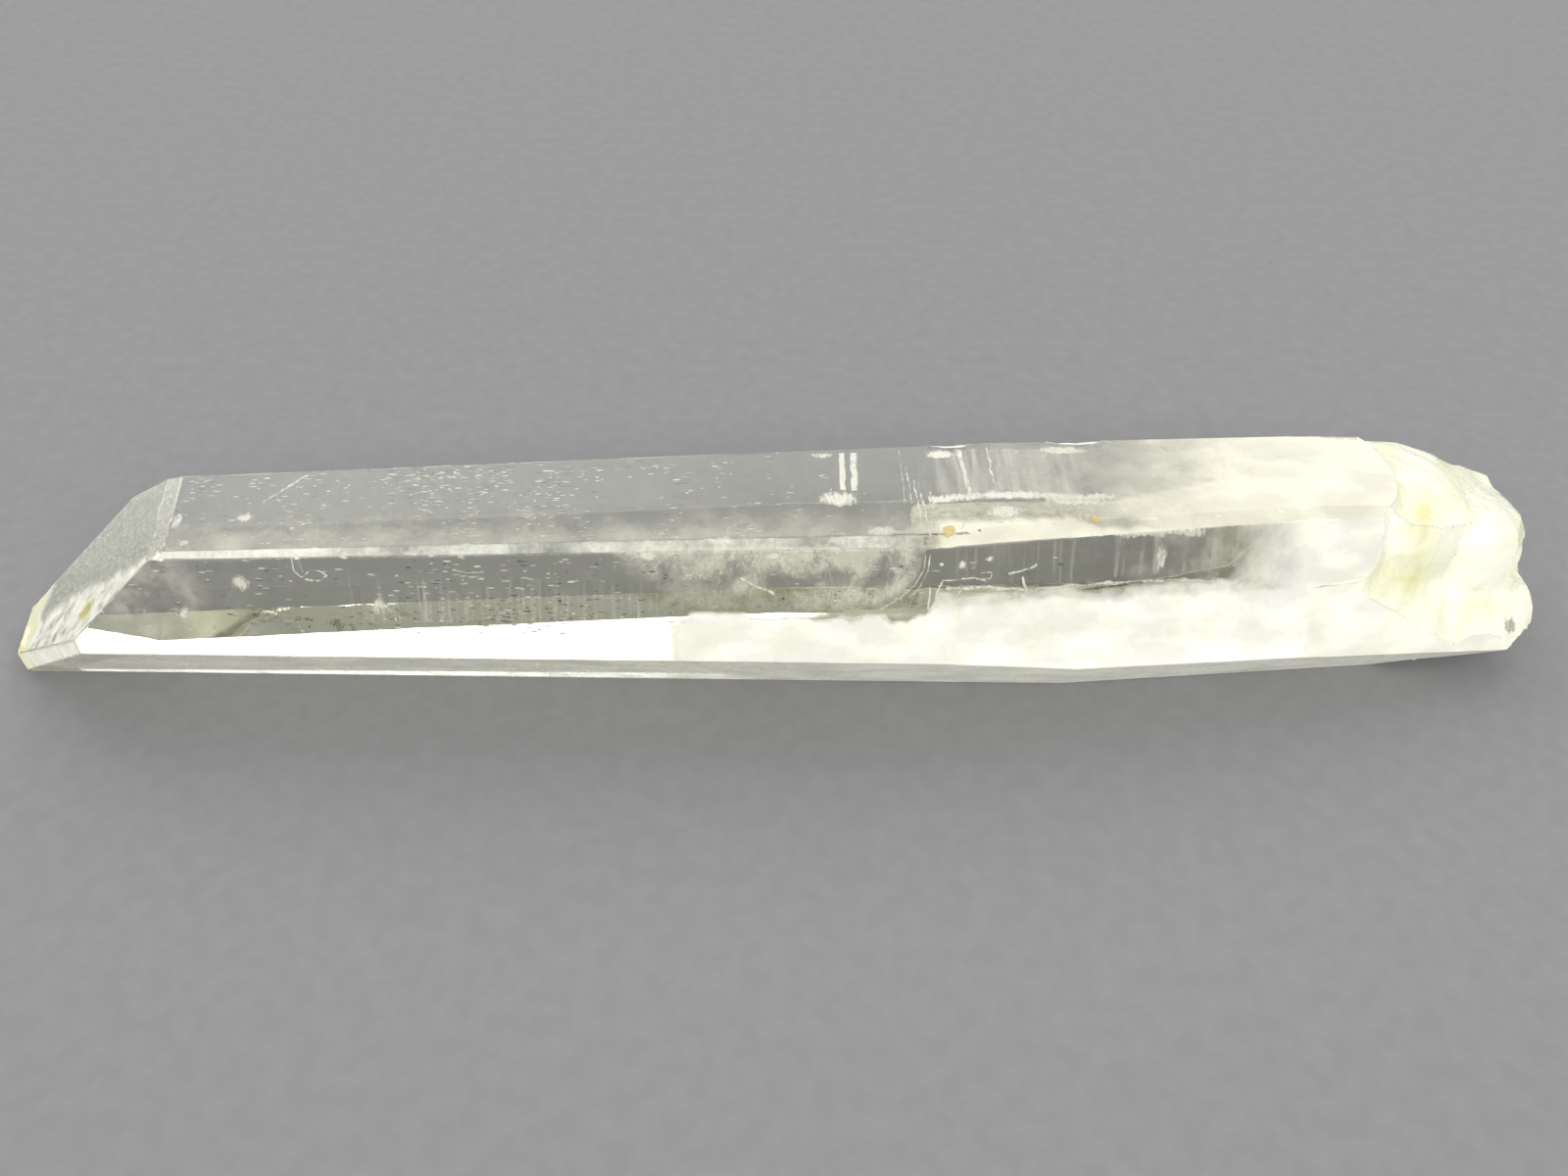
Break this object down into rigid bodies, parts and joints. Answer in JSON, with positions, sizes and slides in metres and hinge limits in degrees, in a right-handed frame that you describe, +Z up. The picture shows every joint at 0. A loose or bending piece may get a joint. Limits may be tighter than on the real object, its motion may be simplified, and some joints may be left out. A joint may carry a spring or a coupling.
{
  "type": "quartz crystal",
  "caption": "Long clear six-sided quartz crystal lying on one prism face, with a slanting chipped point and a milky broken base.",
  "frame": {"origin": "on the resting face, midway along and across the crystal's bounding box", "axes": "+X along the crystal from its point to its broken base, +Z up from the resting prism face, +Y to the back"},
  "size_m": [0.1182, 0.0206, 0.0147],
  "materials": {
    "quartz": "clear natural faces with fine growth lines, milky towards the broken end, which is rough and stained pale yellow"
  },
  "bodies": {
    "root": {"crystal": "quartz"}
  },
  "joints": []
}
